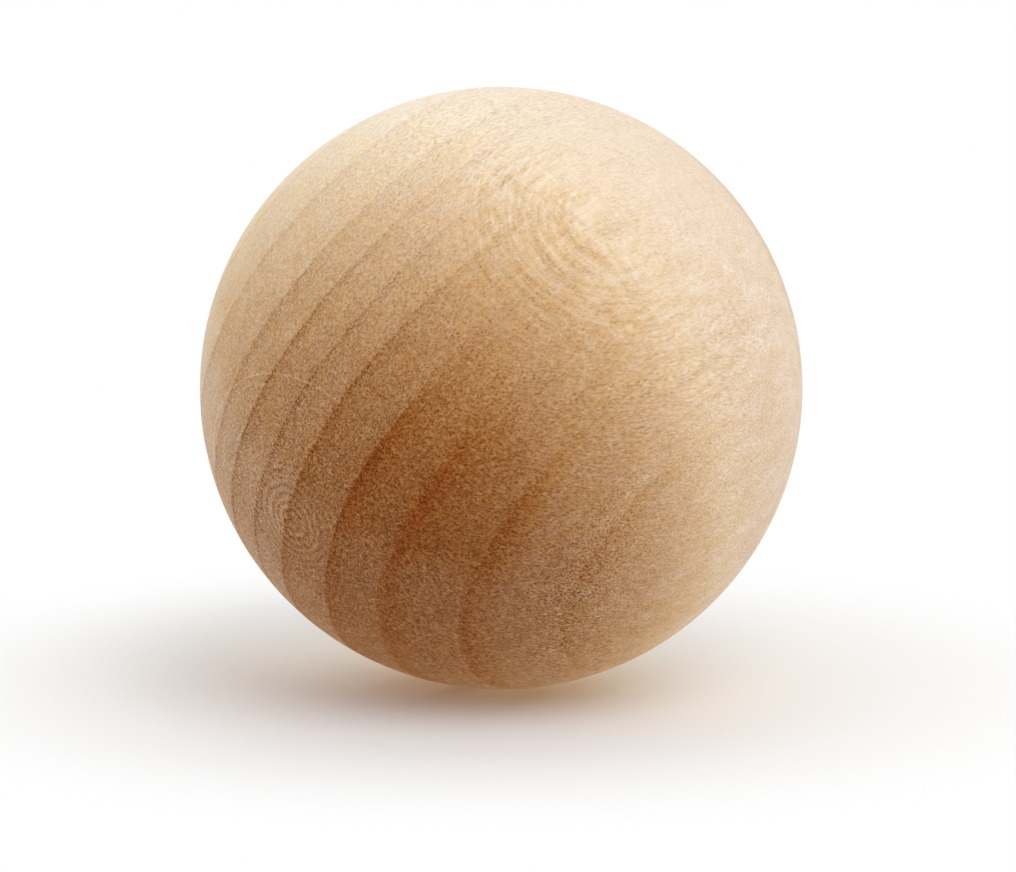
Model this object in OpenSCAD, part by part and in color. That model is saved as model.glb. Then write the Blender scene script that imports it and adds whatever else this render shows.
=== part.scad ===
// A plain solid ball, turned from one piece of wood.
// Millimetres, +Z up, with the origin at the ball's centre.

/* [Ball] */
// Diameter of the finished ball
ball_d = 40; // [10:1:100]

/* [Hidden] */
// Facets round the ball where it is drawn as a mesh
facets = 128;
wood_colour = [0.70, 0.52, 0.34];

// The whole object: a true sphere all over, with no bore, flat, stem or edge.
module ball() {
    color(wood_colour) sphere(d = ball_d, $fn = facets);
}

ball();
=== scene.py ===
import math

import bmesh
import bpy
import numpy as np
from mathutils import Matrix, Vector


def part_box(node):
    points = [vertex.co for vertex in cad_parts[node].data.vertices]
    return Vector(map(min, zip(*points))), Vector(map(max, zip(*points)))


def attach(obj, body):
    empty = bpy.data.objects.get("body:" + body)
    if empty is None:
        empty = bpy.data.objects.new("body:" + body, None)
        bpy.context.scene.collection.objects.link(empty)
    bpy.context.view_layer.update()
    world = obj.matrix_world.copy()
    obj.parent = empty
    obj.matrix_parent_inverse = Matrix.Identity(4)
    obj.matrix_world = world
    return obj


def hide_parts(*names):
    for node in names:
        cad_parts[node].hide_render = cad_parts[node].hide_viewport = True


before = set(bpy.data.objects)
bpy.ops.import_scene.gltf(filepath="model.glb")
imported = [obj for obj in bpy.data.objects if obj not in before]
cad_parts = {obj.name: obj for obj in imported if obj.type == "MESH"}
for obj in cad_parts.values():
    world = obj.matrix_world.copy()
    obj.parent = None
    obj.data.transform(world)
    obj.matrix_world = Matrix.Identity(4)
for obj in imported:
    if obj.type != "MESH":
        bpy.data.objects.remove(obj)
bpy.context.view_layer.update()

mm = 0.001


# ---------------------------------------------------------------------------- the ball
# One solid ball of pale, close-grained hardwood. It is turned between centres from a blank cut
# well off the heart of the log, so the years cross it as long shallow arcs and both ends of the
# fibres come out at the lathe centres. It is sanded fine and left without oil or lacquer.

lowest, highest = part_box("ball")
ball_middle = (lowest + highest) / 2
sanded_off = 0.02 * mm                            # keeps the skin just inside the drawn size
ball_radius = (highest.z - lowest.z) / 2 - sanded_off
radius_in_mm = ball_radius / mm

# How the blank lay in the log: the fibres first, then the way to the heart, then round the log.
fibre_heading = math.radians(225)
fibre_dip = math.radians(19.5)
heart_turn = math.radians(-32)
heart_away = 100                                  # mm from the ball's middle to the log's heart
log_turn = (
    Matrix.Rotation(fibre_heading, 3, "Z")
    @ Matrix.Rotation(fibre_dip, 3, "Y")
    @ Matrix.Rotation(heart_turn, 3, "X")
)
to_fibre_end, to_heart, round_log = log_turn.transposed()

# The years that cross the ball, from the bark inwards. Each ends at its edge, in millimetres out
# from the ball's middle, in a dark summer line that fades inwards, and from there on towards the
# heart the wood is darker all over and browner in the end grain. Amber stain has gathered in some
# of the lines: it comes in over rise and dies away over reach. All widths are in millimetres.
years = [
    # edge, darker, browner, line, fade, amber, rise, reach
    (16.5, 0.02, 0.02, 0.14, 0.30, 0.00, 0.10, 0.1),
    (12.95, 0.04, 0.03, 0.18, 0.30, 0.00, 0.10, 0.1),
    (9.13, 0.04, 0.03, 0.18, 0.45, 0.00, 0.10, 0.1),
    (6.5, 0.00, 0.06, 0.31, 0.35, 0.10, 0.15, 0.9),
    (3.65, 0.00, 0.01, 0.28, 0.30, 0.06, 0.15, 0.3),
    (0.95, 0.01, 0.08, 0.20, 0.45, 0.25, 0.20, 0.5),
    (-2.82, 0.02, 0.07, 0.05, 0.50, 0.85, 0.15, 0.7),
    (-6.75, 0.01, 0.03, 0.00, 0.50, 0.62, 0.45, 0.9),
    (-11.65, 0.00, 0.02, 0.05, 0.60, 0.38, 0.20, 0.8),
    (-16.25, 0.00, 0.01, 0.17, 0.45, 0.22, 0.15, 0.5),
]
ridge_height = 0.008 * mm
ridge_set_in, ridge_width = 0.4, 0.7              # mm, measured inwards from the year's edge


def summer_ridge(depths):
    """How far the hard summer wood stands up after sanding, from 0 to 1, at each depth in mm."""
    stands_up = np.zeros_like(depths)
    for edge, *the_rest in years:
        stands_up += np.exp(-(((depths - edge + ridge_set_in) / ridge_width) ** 2))
    return np.clip(stands_up, 0, 1)


# The skin is six square sheets of quads, bulged from the sides of a cube that lies with the
# grain: two close the fibre ends and four go round between them. Each has its own part of the
# map, three across and two up, with a small gap round it.
quads_per_side = 128
sheets_across, sheets_up = 3, 2
sheet_gap = 0.008                                 # a share of one sheet's part of the map
ends_and_sides = [
    (to_fibre_end, to_heart, round_log),
    (-to_fibre_end, -to_heart, round_log),
    (to_heart, to_fibre_end, -round_log),
    (-to_heart, to_fibre_end, round_log),
    (round_log, to_fibre_end, to_heart),
    (-round_log, to_fibre_end, -to_heart),
]
share = np.linspace(0, 1, quads_per_side + 1)
across, up = np.meshgrid(share, share)
across, up = across.ravel(), up.ravel()
sideways = np.tan((across - 0.5) * math.pi / 2)
upwards = np.tan((up - 0.5) * math.pi / 2)
step = np.arange(quads_per_side)
corner = (step[:, None] * (quads_per_side + 1) + step[None, :]).ravel()
next_row = corner + quads_per_side + 1
sheet_quads = np.stack([corner, corner + 1, next_row + 1, next_row], 1)

points, quads, map_places = [], [], []
for place, (out, side, top) in enumerate(ends_and_sides):
    way = np.array(out) + sideways[:, None] * np.array(side) + upwards[:, None] * np.array(top)
    way /= np.linalg.norm(way, axis=1)[:, None]
    skin_inward = way @ np.array(to_heart) * radius_in_mm
    skin_around = way @ np.array(round_log) * radius_in_mm
    stands_up = summer_ridge(np.hypot(heart_away - skin_inward, skin_around) - heart_away)
    radius = ball_radius - ridge_height * (1 - stands_up)
    points.append(np.array(ball_middle) + way * radius[:, None])
    quads.append(sheet_quads + place * len(way))
    column, row = place % sheets_across, place // sheets_across
    u = (column + sheet_gap + across * (1 - 2 * sheet_gap)) / sheets_across
    v = (row + sheet_gap + up * (1 - 2 * sheet_gap)) / sheets_up
    map_places.append(np.stack([u, v], 1))
points, quads, map_places = np.concatenate(points), np.concatenate(quads), np.concatenate(map_places)

mesh = bpy.data.meshes.new("ball_skin")
mesh.from_pydata(points, [], quads)
flat_map = mesh.uv_layers.new(name="OFBake")
flat_map.data.foreach_set("uv", map_places[quads.ravel()].astype(np.float32).ravel())
joined_within = 0.001 * mm
bm = bmesh.new()
bm.from_mesh(mesh)
bmesh.ops.remove_doubles(bm, verts=bm.verts, dist=joined_within)
bmesh.ops.recalc_face_normals(bm, faces=bm.faces)
for face in bm.faces:
    face.smooth = True
bm.to_mesh(mesh)
bm.free()
ball = bpy.data.objects.new("turned_ball", mesh)
bpy.context.scene.collection.objects.link(ball)


def node(tree, kind, **settings):
    """A new node of that kind with those settings."""
    made = tree.nodes.new(kind)
    for name, value in settings.items():
        setattr(made, name, value)
    return made


def feed(tree, socket, value):
    """Sets the socket to a plain value, or links it to another node's socket."""
    if isinstance(value, bpy.types.NodeSocket):
        tree.links.new(value, socket)
    else:
        socket.default_value = value


def reckon(tree, operation, *values):
    """One step of arithmetic on numbers or sockets."""
    made = node(tree, "ShaderNodeMath", operation=operation)
    for socket, value in zip(made.inputs, values):
        feed(tree, socket, value)
    return made.outputs["Value"]


def ease(tree, value, start, end, low=0.0, high=1.0):
    """Goes smoothly from low to high as value goes from start to end."""
    made = node(tree, "ShaderNodeMapRange", interpolation_type="SMOOTHSTEP")
    labels = ("Value", "From Min", "From Max", "To Min", "To Max")
    for label, setting in zip(labels, (value, start, end, low, high)):
        feed(tree, made.inputs[label], setting)
    return made.outputs["Result"]


def reach_along(tree, place, way):
    """How far the place lies along that way."""
    made = node(tree, "ShaderNodeVectorMath", operation="DOT_PRODUCT")
    feed(tree, made.inputs[0], place)
    feed(tree, made.inputs[1], way)
    return made.outputs["Value"]


def numbers(*labels):
    """A group's sockets for plain numbers, by their labels."""
    return [(label, "Float") for label in labels]


def new_group(name, takes, gives):
    """A shader node group with those inputs and outputs, each a label and a kind of value."""
    group = bpy.data.node_groups.new(name, "ShaderNodeTree")
    for label, kind in takes:
        group.interface.new_socket(label, in_out="INPUT", socket_type="NodeSocket" + kind)
    for label, kind in gives:
        group.interface.new_socket(label, in_out="OUTPUT", socket_type="NodeSocket" + kind)
    return group, group.nodes.new("NodeGroupInput").outputs, group.nodes.new("NodeGroupOutput").inputs


def place_group(tree, group, **values):
    """Puts a group into a tree; an input's name has _ where its label has a space."""
    made = node(tree, "ShaderNodeGroup", node_tree=group)
    for name, value in values.items():
        feed(tree, made.inputs[name.replace("_", " ")], value)
    return made.outputs


# Where a point of the skin lay in the log, in millimetres from the ball's middle: Along the fibres,
# Depth out towards the bark, and Around the log.
log_place, given, result = new_group(
    "place in the log", [("Place", "Vector")], numbers("Along", "Depth", "Around")
)
in_mm = node(log_place, "ShaderNodeVectorMath", operation="SCALE")
feed(log_place, in_mm.inputs[0], given["Place"])
feed(log_place, in_mm.inputs["Scale"], 1 / mm)
in_mm = in_mm.outputs["Vector"]
fibres_on, inward, sideways_on = (
    reach_along(log_place, in_mm, way) for way in (to_fibre_end, to_heart, round_log)
)
from_heart = reckon(log_place, "SUBTRACT", heart_away, inward)
square = reckon(log_place, "MULTIPLY", from_heart, from_heart)
square = reckon(log_place, "MULTIPLY_ADD", sideways_on, sideways_on, square)
out_from_heart = reckon(log_place, "SQRT", square)
turned = reckon(log_place, "ARCTAN2", sideways_on, from_heart)
feed(log_place, result["Along"], fibres_on)
feed(log_place, result["Depth"], reckon(log_place, "SUBTRACT", out_from_heart, heart_away))
feed(log_place, result["Around"], reckon(log_place, "MULTIPLY", turned, heart_away))


def counted_place(group, given):
    """The place in the log, counted in steps of the Length, Thick and Wide that a group is given."""
    made = node(group, "ShaderNodeCombineXYZ")
    steps = (("Along", "Length"), ("Depth", "Thick"), ("Around", "Wide"))
    for socket, (way, size) in zip(made.inputs, steps):
        feed(group, socket, reckon(group, "DIVIDE", given[way], given[size]))
    return made.outputs["Vector"]


# Cloudy variation drawn out along the grain: Length, Thick and Wide are the size of one cloud
# in millimetres along the fibres, towards the bark and round the log. It swings about 0.
cloud_roughness = 0.6
cloud_middle, cloud_strength = 0.5, 8.0           # bring the swing to about one either way
grain_cloud, given, result = new_group(
    "grain cloud",
    numbers("Along", "Depth", "Around", "Length", "Thick", "Wide", "Detail", "Kind"),
    numbers("Swing"),
)
cloud = node(grain_cloud, "ShaderNodeTexNoise", noise_dimensions="4D")
feed(grain_cloud, cloud.inputs["Vector"], counted_place(grain_cloud, given))
feed(grain_cloud, cloud.inputs["W"], given["Kind"])
feed(grain_cloud, cloud.inputs["Scale"], 1.0)
feed(grain_cloud, cloud.inputs["Detail"], given["Detail"])
feed(grain_cloud, cloud.inputs["Roughness"], cloud_roughness)
swing = reckon(grain_cloud, "SUBTRACT", cloud.outputs["Fac"], cloud_middle)
feed(grain_cloud, result["Swing"], reckon(grain_cloud, "MULTIPLY", swing, cloud_strength))


def die_away(group, distance, reach):
    """1 where the distance is nothing or less, and beyond it dying away over that reach."""
    gone = reckon(group, "DIVIDE", reckon(group, "MAXIMUM", distance, 0.0), reach)
    return reckon(group, "EXPONENT", reckon(group, "MULTIPLY", gone, -1.0))


# One year: the darker and browner wood inside its edge, its summer line and the amber in it.
edge_blur = 0.08                                  # mm either side of the edge
one_year, given, result = new_group(
    "one year",
    numbers("Depth", "Edge", "Darker", "Browner", "Line", "Fade", "Amber", "Rise", "Reach"),
    numbers("Dark", "Brown", "Summer", "Amber"),
)
inside = reckon(one_year, "SUBTRACT", given["Edge"], given["Depth"])
past_edge = ease(one_year, inside, -edge_blur, edge_blur)
feed(one_year, result["Dark"], reckon(one_year, "MULTIPLY", past_edge, given["Darker"]))
feed(one_year, result["Brown"], reckon(one_year, "MULTIPLY", past_edge, given["Browner"]))
summer_line = reckon(one_year, "MULTIPLY", die_away(one_year, inside, given["Fade"]), past_edge)
feed(one_year, result["Summer"], reckon(one_year, "MULTIPLY", summer_line, given["Line"]))
before_edge = reckon(one_year, "MULTIPLY", given["Rise"], -1.0)
soaked = ease(one_year, inside, before_edge, given["Rise"])
past_rise = reckon(one_year, "SUBTRACT", inside, given["Rise"])
soaked = reckon(one_year, "MULTIPLY", die_away(one_year, past_rise, given["Reach"]), soaked)
feed(one_year, result["Amber"], reckon(one_year, "MULTIPLY", soaked, given["Amber"]))

# Pores: the log's vessels, cut across as dots in the end grain and along as short dashes in the
# sides. Length, Thick and Wide set how far apart they are, in millimetres. Hollow is 1 in a pore.
pore_rim, pore_floor = 0.34, 0.14                 # from its middle, as shares of the spacing
pores, given, result = new_group(
    "pores", numbers("Along", "Depth", "Around", "Length", "Thick", "Wide"), numbers("Hollow")
)
pore_cells = node(pores, "ShaderNodeTexVoronoi", voronoi_dimensions="3D", feature="F1")
feed(pores, pore_cells.inputs["Vector"], counted_place(pores, given))
feed(pores, pore_cells.inputs["Scale"], 1.0)
feed(pores, result["Hollow"], ease(pores, pore_cells.outputs["Distance"], pore_rim, pore_floor))

# Turning marks: fine circles round the lathe's axis, strongest about the centre where the blank was
# held. From Axis is the distance from that axis in millimetres, Pitch the width of one circle and
# Length how far one runs before it wavers.
waver_detail = 2.0
waver_turn = 6.0                                  # radians, where one circle is a full turn
paler_share = 0.7                                 # how pale a circle goes, against how dark
turning_marks, given, result = new_group(
    "turning marks", numbers("From Axis", "Depth", "Around", "Pitch", "Length"), numbers("Mark")
)
mark_place = node(turning_marks, "ShaderNodeCombineXYZ")
for label, way in (("X", "Depth"), ("Y", "Around")):
    runs = reckon(turning_marks, "DIVIDE", given[way], given["Length"])
    feed(turning_marks, mark_place.inputs[label], runs)
waver = node(turning_marks, "ShaderNodeTexNoise", noise_dimensions="3D")
feed(turning_marks, waver.inputs["Vector"], mark_place.outputs["Vector"])
feed(turning_marks, waver.inputs["Scale"], 1.0)
feed(turning_marks, waver.inputs["Detail"], waver_detail)
waver = reckon(turning_marks, "MULTIPLY", waver.outputs["Fac"], waver_turn)
one_turn = reckon(turning_marks, "DIVIDE", given["Pitch"], 2 * math.pi)
circles = reckon(turning_marks, "DIVIDE", given["From Axis"], one_turn)
circles = reckon(turning_marks, "SINE", reckon(turning_marks, "ADD", circles, waver))
paler = reckon(turning_marks, "MULTIPLY", circles, paler_share)
feed(turning_marks, result["Mark"], reckon(turning_marks, "MAXIMUM", circles, paler))

# A stain laid over the wood: Coats says how many times its colour lies over what is under it.
stain, given, result = new_group(
    "stain", [("Under", "Color"), ("Stain", "Color"), ("Coats", "Float")], [("Colour", "Color")]
)
coats = node(stain, "ShaderNodeGamma")
feed(stain, coats.inputs["Color"], given["Stain"])
feed(stain, coats.inputs["Gamma"], given["Coats"])
laid = node(stain, "ShaderNodeMix", data_type="RGBA", blend_type="MULTIPLY")
feed(stain, laid.inputs["Factor"], 1.0)
feed(stain, laid.inputs["A"], given["Under"])
feed(stain, laid.inputs["B"], coats.outputs["Color"])
feed(stain, result["Colour"], laid.outputs["Result"])

# The bare wood is a pale ground with three stains over it, counted in coats: brown towards the
# heart and in the summer lines, amber where it has gathered, and the shade in fibres and pores.
pale_wood = (0.87, 0.72, 0.56, 1)
brown_stain = (0.37, 0.22, 0.14, 1)
amber_stain = (0.80, 0.44, 0.09, 1)
pore_shade = (0.37, 0.31, 0.23, 1)
sanded_roughness = 0.6
fibre_roughness = 0.03                            # how much rougher it is in a dark fibre
bare_gloss = 0.12
pore_sink = 0.01 * mm

wood = bpy.data.materials.new("bare_turned_hardwood")
wood.use_nodes = True
in_wood = wood.node_tree
in_wood.nodes.clear()
surface = node(in_wood, "ShaderNodeBsdfPrincipled")
output = node(in_wood, "ShaderNodeOutputMaterial")
in_wood.links.new(surface.outputs["BSDF"], output.inputs["Surface"])

skin_place = node(in_wood, "ShaderNodeTexCoord").outputs["Object"]
in_log = place_group(in_wood, log_place, Place=skin_place)
along, depth, around = in_log["Along"], in_log["Depth"], in_log["Around"]


# Short names for the steps that the wood's own nodes take over and over.
def times(value, *factors):
    """The value times each factor in turn."""
    for factor in factors:
        value = reckon(in_wood, "MULTIPLY", value, factor)
    return value


def plus(value, other):
    """The two added together."""
    return reckon(in_wood, "ADD", value, other)


def plus_share(whole, extra, of_it):
    """The whole with that much of something extra added."""
    return reckon(in_wood, "MULTIPLY_ADD", extra, of_it, whole)


def larger(value, other):
    """The larger of the two."""
    return reckon(in_wood, "MAXIMUM", value, other)


def shift(value, start, end, low=0.0, high=1.0):
    """Goes smoothly from low to high as value goes from start to end."""
    return ease(in_wood, value, start, end, low, high)


def band(value, start, full_from, full_to, end):
    """1 between full_from and full_to, and 0 before start and past end."""
    return times(shift(value, start, full_from), shift(value, end, full_to))


def clouds(kind, length, thick, wide, detail, place=(along, depth, around)):
    """Grain clouds of that size in mm; kind is a number that tells one set from another."""
    made = place_group(
        in_wood, grain_cloud, Along=place[0], Depth=place[1], Around=place[2],
        Length=length, Thick=thick, Wide=wide, Detail=detail, Kind=kind,
    )
    return made["Swing"]


# End grain drinks light. End on is 1 where the fibres end squarely in the skin, 0 where they lie
# along it and -1 at their far end, which opens later and a little less.
far_end_steep = 2.8
far_end_share = 0.6
end_grain_power = 1.3
end_on = reckon(in_wood, "DIVIDE", along, radius_in_mm)
near_end = larger(end_on, 0.0)
far_end = larger(plus_share(1 - far_end_steep, end_on, -far_end_steep), 0.0)
open_end = plus_share(near_end, far_end, far_end_share)
end_grain = reckon(in_wood, "POWER", open_end, end_grain_power)
line_end = times(open_end, open_end)

# The years wander a little in and out, slowly along the log and finely from fibre to fibre.
slow_sway, fine_sway = 0.05, 0.03                 # mm
slow_wander = clouds(1, length=12.0, thick=5.0, wide=6.0, detail=1.0)
fine_wander = clouds(6, length=1.5, thick=0.8, wide=0.8, detail=2.0)
wavy_depth = plus_share(depth, slow_wander, slow_sway)
wavy_depth = plus_share(wavy_depth, fine_wander, fine_sway)
dark, brown, summer, amber = 0.0, 0.0, 0.0, 0.0
for edge, darker, browner, line, fade, in_line, rise, reach in years:
    year = place_group(
        in_wood, one_year, Depth=wavy_depth, Edge=edge, Darker=darker, Browner=browner,
        Line=line, Fade=fade, Amber=in_line, Rise=rise, Reach=reach,
    )
    dark = plus(year["Dark"], dark)
    brown = plus(year["Brown"], brown)
    summer = plus(year["Summer"], summer)
    amber = plus(year["Amber"], amber)

# Rays are thin ribbons that stand from the heart to the bark, and lean a little. Quartered is 1
# where the skin lies along them, and their silk begins to show some way before that.
ray_lean = -0.05                                  # mm round the log for each mm towards the bark
quartered_from, quartered_full = 0.84, 0.95
silk_from, silk_full = 0.6, 0.85
leaning_around = plus_share(around, depth, ray_lean)
along_rays = reckon(in_wood, "ABSOLUTE", reckon(in_wood, "DIVIDE", leaning_around, radius_in_mm))
quartered = shift(along_rays, quartered_from, quartered_full)
silky = shift(along_rays, silk_from, silk_full)
with_rays = (along, depth, leaning_around)
silk = clouds(13, length=1.6, thick=5.0, wide=0.10, detail=2.0, place=with_rays)

# The fibres climb a little in the log, towards the bark and round it. They speckle the skin with
# fine dark dashes, loosely gathered in tufts, and pores open among them.
climb = -0.18                                     # mm for each mm along the fibres
pore_length, pore_spacing = 1.4, 0.3
climbing_depth = plus_share(depth, along, climb)
climbing_around = plus_share(around, along, climb)
with_fibres = (along, climbing_depth, climbing_around)
fibres = clouds(2, length=0.45, thick=0.14, wide=0.14, detail=1.0, place=with_fibres)
specks = clouds(12, length=0.16, thick=0.15, wide=0.15, detail=1.0, place=with_fibres)
tufts = clouds(9, length=1.5, thick=0.28, wide=0.28, detail=1.0, place=with_fibres)
hollow = place_group(
    in_wood, pores, Along=along, Depth=climbing_depth, Around=climbing_around,
    Length=pore_length, Thick=pore_spacing, Wide=pore_spacing,
)["Hollow"]

# Nearest the heart and along the rays the dashes break up into short specks. Where the rays begin
# to show, their silk picks out the dark ones.
inner_from, inner_full = -13.0, -16.0
broken_by_rays = 0.7
dashes_lost, lost_to_silk, picked_by_silk = -0.6, -0.1, 0.5
pale_fibre = 0.25                                 # what a pale fibre counts for, against a dark one
broken = larger(shift(depth, inner_from, inner_full), times(quartered, broken_by_rays))
fibres = times(fibres, plus_share(1.0, broken, dashes_lost))
specks = times(specks, shift(open_end, 0.2, 0.55, low=0.8, high=1.3))
fibres = plus_share(fibres, specks, broken)
broken_silk = times(silk, larger(fibres, 0.0))
fibres = times(fibres, plus_share(1.0, silky, lost_to_silk))
fibres = plus_share(fibres, times(broken_silk, silky), picked_by_silk)
dark_fibres = larger(fibres, times(fibres, pale_fibre))

# Brown in the end grain: it deepens steadily towards the heart, year by year. The side of the ball
# that lies round the log is a little browner, and the very end of the fibres is paler. The other side,
# towards the underside of the ball, is paler too: painted light that lifts the shade under the ball.
# Summer lines are brownest in the end grain, and thin along the sides.
brown_at_middle, brown_per_mm = 0.68, -0.024
pooled_brown, paler_brown, cloudy_brown = 0.05, -0.06, 0.04
line_along, line_across = 0.2, 0.98
pooled = shift(around, 1.0, 5.0)
heart_brown = plus(plus_share(brown_at_middle, depth, brown_per_mm), brown)
heart_brown = plus_share(heart_brown, pooled, pooled_brown)
paler_end = times(shift(end_on, 0.85, 1.0), shift(around, -3.0, 1.0))
heart_brown = plus_share(heart_brown, paler_end, paler_brown)
broad_clouds = clouds(3, length=4.0, thick=1.5, wide=2.5, detail=2.0)
heart_brown = plus_share(heart_brown, broad_clouds, cloudy_brown)
# Paler on the side towards the underside: painted light that lifts the shade under the ball.
heart_brown = times(heart_brown, shift(around, -13.0, 6.0, low=0.87, high=1.0))
line_share = plus_share(line_along, line_end, line_across)
line_share = times(line_share, shift(end_on, -0.3, 0.15, low=0.45, high=1.0))
line_brown = times(summer, line_share)
brown_coats = plus_share(line_brown, heart_brown, end_grain)

# The darker that brown is, the more the fibres break it up. Tufts and pores are browner too.
browner_tufts, browner_pores = 0.10, 0.2
speckled = shift(brown_coats, 0.1, 0.9, low=0.08, high=0.29)
speckled = times(speckled, shift(depth, inner_from, inner_full, low=1.0, high=1.4))
uneven = plus_share(1.0, dark_fibres, speckled)
uneven = plus_share(uneven, tufts, browner_tufts)
uneven = plus_share(uneven, hollow, browner_pores)
brown_coats = times(brown_coats, uneven)

# Brown all over, whether the fibres end in the skin or not: it too grows year by year towards the
# heart. One pale thread runs just outside the last amber line but one, on the paler side.
thread_edges = (-11.55, -11.45, -11.4, -11.3)
thread_paler = -0.16
plain_brown = plus(dark, shift(depth, 10.0, -4.0, low=-0.115, high=-0.065))
deep_brown = times(
    shift(depth, -5.0, -17.0, low=0.0, high=0.08),
    shift(end_on, -0.5, -0.1, low=0.3, high=1.0),
    shift(open_end, 0.3, 0.55, low=1.0, high=0.55),
)
plain_brown = plus(plain_brown, deep_brown)
brown_coats = plus(brown_coats, plain_brown)
thread = band(wavy_depth, *thread_edges)
thread = times(thread, times(shift(around, 1.0, -4.0), near_end))
brown_coats = plus_share(brown_coats, thread, thread_paler)

# Amber: a thin wash towards the heart, stronger round the log, and deep in the inner summer lines.
# The washes stop short of the wood nearest the heart, and another begins there on the paler side.
stops_at, whole_from = -13.8, -11.8
pooled_inner, pooled_deep = 0.12, 0.14
line_amber, pooled_amber = 0.65, 0.35
inner_stop = shift(wavy_depth, stops_at, whole_from)
inner_wash = times(shift(wavy_depth, 2.0, 0.0, low=0.0, high=0.09), inner_stop)
inner_wash = plus_share(inner_wash, pooled, pooled_inner)
inner_wash = times(inner_wash, open_end)
deep_share = plus_share(shift(around, -6.0, 0.0, low=0.15, high=0.06), pooled, pooled_deep)
deep_wash = times(shift(wavy_depth, -2.0, -4.5), inner_stop, shift(open_end, 0.45, 0.85), deep_share)
far_wash = times(
    shift(wavy_depth, -10.5, -12.5),
    shift(around, 4.0, -4.0, low=0.0, high=0.10),
    shift(end_on, -0.1, 0.4),
)
in_lines = times(
    amber,
    plus_share(line_amber, pooled, pooled_amber),
    shift(around, 15.5, 8.0),
    shift(open_end, 0.2, 0.7),
)
amber_coats = plus(plus(in_lines, far_wash), plus(inner_wash, deep_wash))

# The amber too is cloudy and broken up by the fibres, and a thin even wash lies over it all where
# the skin isn't turned to the far end. The finest mottle shows most in the end grain.
amber_clouds, amber_fibres, amber_tufts = 0.12, 0.3, 0.2
mottle_along, mottle_across = 0.008, 0.045
small_clouds = clouds(4, length=1.6, thick=0.8, wide=0.8, detail=2.0)
cloudy = plus_share(1.0, small_clouds, amber_clouds)
cloudy = plus_share(cloudy, dark_fibres, amber_fibres)
cloudy = plus_share(cloudy, tufts, amber_tufts)
amber_coats = times(amber_coats, larger(cloudy, 0.0))
thin_wash = times(
    shift(end_on, -0.3, 0.1, low=0.0, high=0.055),
    shift(depth, 8.0, -1.0, low=0.7, high=1.3),
)
amber_coats = plus(amber_coats, thin_wash)
mottle = clouds(7, length=0.9, thick=0.5, wide=0.5, detail=2.0)
amber_coats = plus_share(amber_coats, mottle, plus_share(mottle_along, line_end, mottle_across))

# Patches of the wood lean a little towards yellow or towards pink, and towards the heart some long
# streaks are darker than others.
patch_yellow, patch_pink = 0.04, -0.015
streak_coats = 0.025
patchy = clouds(8, length=2.2, thick=1.0, wide=1.2, detail=2.0)
patchy = times(patchy, shift(end_on, -0.4, 0.4, low=0.2, high=1.0))
amber_coats = plus_share(amber_coats, patchy, patch_yellow)
brown_coats = plus_share(brown_coats, patchy, patch_pink)
streaky = clouds(11, length=3.5, thick=0.7, wide=1.5, detail=2.0)
streaky = times(streaky, shift(depth, -3.0, -10.0, low=0.2, high=1.0))
amber_coats = plus_share(amber_coats, streaky, streak_coats)
brown_coats = plus_share(brown_coats, streaky, streak_coats)

# The fine speckle is strong along the sides, fainter on the way to the fibre end and strongest at
# the end itself. It grows towards the heart and in the summer lines, and fades under the bark.
pore_share = 0.4                                  # of a fibre's shade
fibre_depth = shift(end_on, -0.7, 0.0, low=0.05, high=0.11)
fibre_depth = plus(fibre_depth, shift(end_on, 0.25, 0.6, low=0.0, high=-0.038))
fibre_depth = plus(fibre_depth, shift(open_end, 0.8, 1.0, low=0.0, high=0.07))
fibre_depth = times(fibre_depth, shift(depth, -4.0, -18.0, low=1.0, high=1.15))
fibre_depth = times(fibre_depth, shift(depth, 11.0, 15.0, low=1.0, high=0.65))
pore_coats = times(fibres, fibre_depth)
pore_coats = plus_share(pore_coats, times(hollow, fibre_depth), pore_share)
line_depth = times(summer, shift(open_end, 0.4, 0.95, low=0.1, high=1.2))
pore_coats = plus_share(pore_coats, dark_fibres, line_depth)

# The rays show as silky flecks where the skin lies along them, most towards the fibre end. Straight
# fine bands of the years cross them there, and the speckle is a little fainter.
silk_in_flecks = 1.6
fleck_brown, fleck_amber = 0.8, 0.6
fainter_speckle = -0.2
flecks = clouds(5, length=0.5, thick=5.0, wide=0.6, detail=1.0, place=with_rays)
flecks = plus_share(flecks, silk, silk_in_flecks)
fine_bands = clouds(10, length=4.0, thick=0.45, wide=1.5, detail=2.0)
fleck_coats = times(flecks, shift(end_on, -0.1, 0.12, low=0.004, high=0.032))
band_coats = times(fine_bands, shift(depth, -6.0, 0.0, low=0.01, high=0.04))
band_coats = times(band_coats, shift(end_on, -0.15, 0.05))
fleck_coats = times(plus(fleck_coats, band_coats), quartered)
brown_coats = plus_share(brown_coats, fleck_coats, fleck_brown)
amber_coats = plus_share(amber_coats, fleck_coats, fleck_amber)
pore_coats = times(pore_coats, plus_share(1.0, quartered, fainter_speckle))

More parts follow.
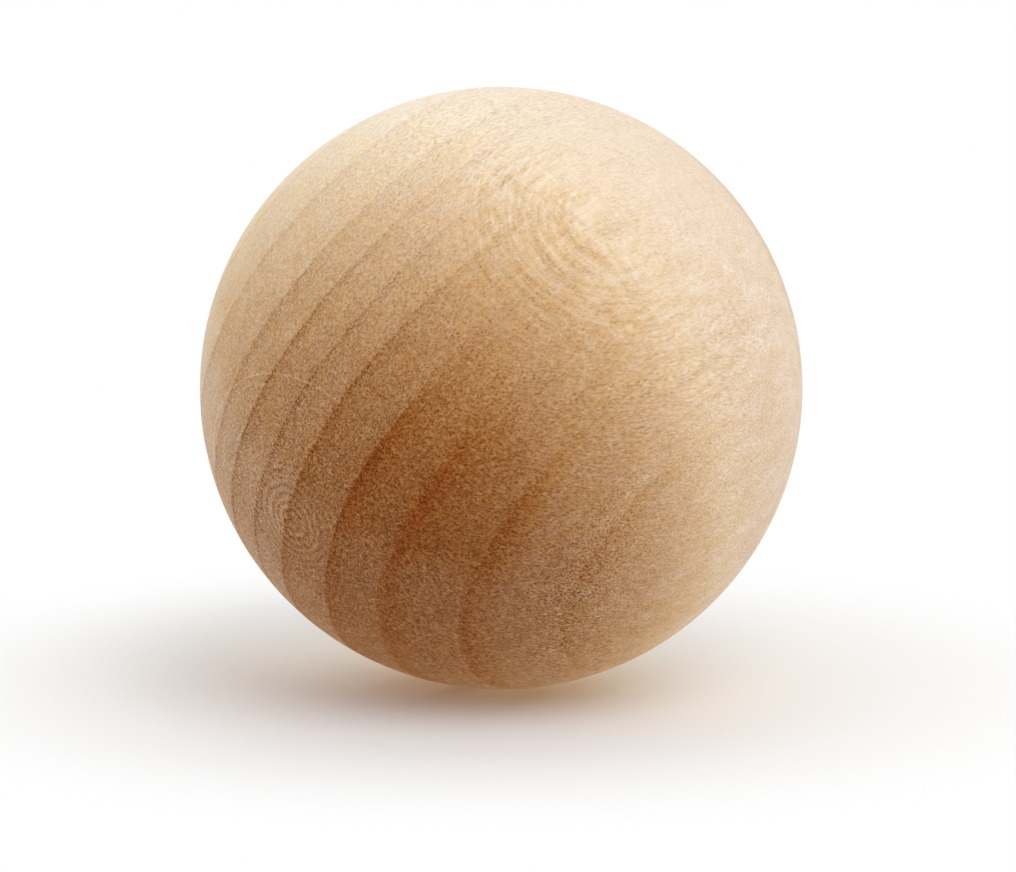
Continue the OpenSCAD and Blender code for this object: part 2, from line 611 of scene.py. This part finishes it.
# The lathe left fine broken circles about its centre, a hair off the fibre end. Further out, one faint
# groove is drawn only as a ring of painted shade, with a ring of painted highlight beside it where its
# paler ridge would be.
centre_off_heart, centre_round_log = 0.0155, 0.006    # shares of the ball's radius
circle_pitch, circle_run = 0.53, 1.5
circles_end, circles_full = 6.0, 0.5              # mm from the lathe's axis
circle_coats, circle_fibres = 0.24, 0.6
groove_edges, groove_painted_shade = (8.9, 9.2, 9.2, 9.45), 0.05
ridge_edges, ridge_painted_highlight = (9.4, 9.5, 9.5, 9.6), -0.2
lathe_end = (to_fibre_end - centre_off_heart * to_heart + centre_round_log * round_log).normalized()
down_axis = reach_along(in_wood, skin_place, lathe_end / mm)
off_axis = reckon(in_wood, "SUBTRACT", radius_in_mm ** 2, times(down_axis, down_axis))
off_axis = reckon(in_wood, "SQRT", larger(off_axis, 0.0))
mark = place_group(
    in_wood, turning_marks, From_Axis=off_axis, Depth=depth, Around=around,
    Pitch=circle_pitch, Length=circle_run,
)["Mark"]
mark = times(mark, plus_share(1.0, fibres, circle_fibres))
mark = times(mark, shift(end_on, -0.5, 0.5, low=0.45, high=1.0))
circle_strength = shift(off_axis, circles_end, circles_full, low=0.0, high=circle_coats)
brown_coats = plus_share(brown_coats, mark, circle_strength)
this_end = shift(end_on, 0.0, 0.2)
groove = times(band(off_axis, *groove_edges), this_end)
ridge = times(band(off_axis, *ridge_edges), this_end)
# The groove's darker ring is painted shade, and the ridge's paler ring is a painted highlight.
pore_coats = plus_share(pore_coats, groove, groove_painted_shade)
pore_coats = plus_share(pore_coats, ridge, ridge_painted_highlight)

# The stains go on over the pale wood, and fibres and pores lie a hair lower than the rest.
colour = pale_wood
for shade, coats in ((brown_stain, brown_coats), (amber_stain, amber_coats), (pore_shade, pore_coats)):
    colour = place_group(in_wood, stain, Under=colour, Stain=shade, Coats=coats)["Colour"]
feed(in_wood, surface.inputs["Base Color"], colour)
surface.inputs["Specular IOR Level"].default_value = bare_gloss
feed(in_wood, surface.inputs["Roughness"], plus_share(sanded_roughness, fibres, fibre_roughness))
sunk = node(in_wood, "ShaderNodeBump")
sunk.inputs["Strength"].default_value = 1.0
sunk.inputs["Distance"].default_value = pore_sink
feed(in_wood, sunk.inputs["Height"], times(plus(fibres, hollow), -1.0))
in_wood.links.new(sunk.outputs["Normal"], surface.inputs["Normal"])
mesh.materials.append(wood)

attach(ball, "root")
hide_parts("ball")


# --------------------------------------------------------------------------- the floor
# A wide sheet of matt white card under the ball, partly lit through from below. Close to the ball
# it shows the soft shadow, and further out it clears to plain white.

card_reach = 3.0
card_white = (0.92, 0.92, 0.92, 1)
clears_from, clear_at = 20 * mm, 45 * mm
light_through = 0.55
card_corners = [(x * card_reach, y * card_reach, 0) for x, y in ((-1, -1), (1, -1), (1, 1), (-1, 1))]
floor_card = bpy.data.meshes.new("floor_card")
floor_card.from_pydata(card_corners, [], [(0, 1, 2, 3)])
floor = bpy.data.objects.new("floor", floor_card)
floor.location = (ball_middle.x, ball_middle.y, lowest.z)
bpy.context.scene.collection.objects.link(floor)


def seen_by_eye(tree):
    """1 for what the eye sees, also in a gloss or through glass, and 0 for light on the ball."""
    rays = node(tree, "ShaderNodeLightPath").outputs
    seen = reckon(tree, "MAXIMUM", rays["Is Camera Ray"], rays["Is Glossy Ray"])
    return reckon(tree, "MAXIMUM", seen, rays["Is Transmission Ray"])


def mix_shaders(tree, share, first, second):
    """Goes from the first shader to the second as share goes from 0 to 1."""
    mixed = node(tree, "ShaderNodeMixShader")
    feed(tree, mixed.inputs["Fac"], share)
    tree.links.new(first, mixed.inputs[1])
    tree.links.new(second, mixed.inputs[2])
    return mixed.outputs["Shader"]


card = bpy.data.materials.new("white_card")
card.use_nodes = True
in_card = card.node_tree
in_card.nodes.clear()
paper = node(in_card, "ShaderNodeBsdfDiffuse")
paper.inputs["Color"].default_value = card_white
plain_white = node(in_card, "ShaderNodeEmission")
seen = seen_by_eye(in_card)
away = node(in_card, "ShaderNodeVectorMath", operation="LENGTH")
feed(in_card, away.inputs[0], node(in_card, "ShaderNodeTexCoord").outputs["Object"])
cleared = ease(in_card, away.outputs["Value"], clears_from, clear_at)
seen_white = reckon(in_card, "MULTIPLY", seen, cleared)
lit_from_below = reckon(in_card, "MULTIPLY_ADD", seen, -light_through, light_through)
white_share = reckon(in_card, "ADD", seen_white, lit_from_below)
shown = mix_shaders(in_card, white_share, paper.outputs["BSDF"], plain_white.outputs["Emission"])
output = node(in_card, "ShaderNodeOutputMaterial")
in_card.links.new(shown, output.inputs["Surface"])
floor_card.materials.append(card)


# --------------------------------------------------------------------------- the light
# A white light tent all round, and one large soft lamp above, in front and to the right. The tent
# looks plain white, and its light on the ball is a little weaker than that.

tent_grey = (0.82, 0.82, 0.82, 1)
tent_white = (1, 1, 1, 1)
tent = bpy.data.worlds.new("light_tent")
tent.use_nodes = True
bpy.context.scene.world = tent
in_tent = tent.node_tree
in_tent.nodes.clear()
given_light = node(in_tent, "ShaderNodeBackground")
given_light.inputs["Color"].default_value = tent_grey
tent_seen = node(in_tent, "ShaderNodeBackground")
tent_seen.inputs["Color"].default_value = tent_white
shown = mix_shaders(
    in_tent, seen_by_eye(in_tent), given_light.outputs["Background"], tent_seen.outputs["Background"]
)
output = node(in_tent, "ShaderNodeOutputWorld")
in_tent.links.new(shown, output.inputs["Surface"])

lamp_across = 0.5
lamp_watts = 1.1
lamp_distance = 0.6
lamp_way = Vector((0.36, -0.55, 0.76)).normalized()
lamp = bpy.data.lights.new("soft_lamp", "AREA")
lamp.shape = "DISK"
lamp.size = lamp_across
lamp.energy = lamp_watts
soft_lamp = bpy.data.objects.new("soft_lamp", lamp)
soft_lamp.location = ball_middle + lamp_way * lamp_distance
soft_lamp.rotation_euler = lamp_way.to_track_quat("Z", "Y").to_euler()
bpy.context.scene.collection.objects.link(soft_lamp)


# -------------------------------------------------------------------------- the camera
# A long lens half a metre away, a little above the ball and looking slightly down at it, with
# the ball a touch left of the middle and above it.

camera_distance = 0.5
camera_height = math.radians(10)
film_width = 36
lens_length = 267
aim_right, aim_down = 0.45 * mm, 3.17 * mm
camera = bpy.data.objects.new("camera", bpy.data.cameras.new("camera"))
camera.data.sensor_width = film_width
camera.data.lens = lens_length
bpy.context.scene.collection.objects.link(camera)
back = Vector((0, -math.cos(camera_height), math.sin(camera_height)))
right = Vector((1, 0, 0))
upward = back.cross(right)
camera.location = ball_middle + back * camera_distance
aim = ball_middle + right * aim_right - upward * aim_down
camera.rotation_euler = (camera.location - aim).to_track_quat("Z", "Y").to_euler()
bpy.context.scene.camera = camera
bpy.context.scene.view_settings.view_transform = "Standard"
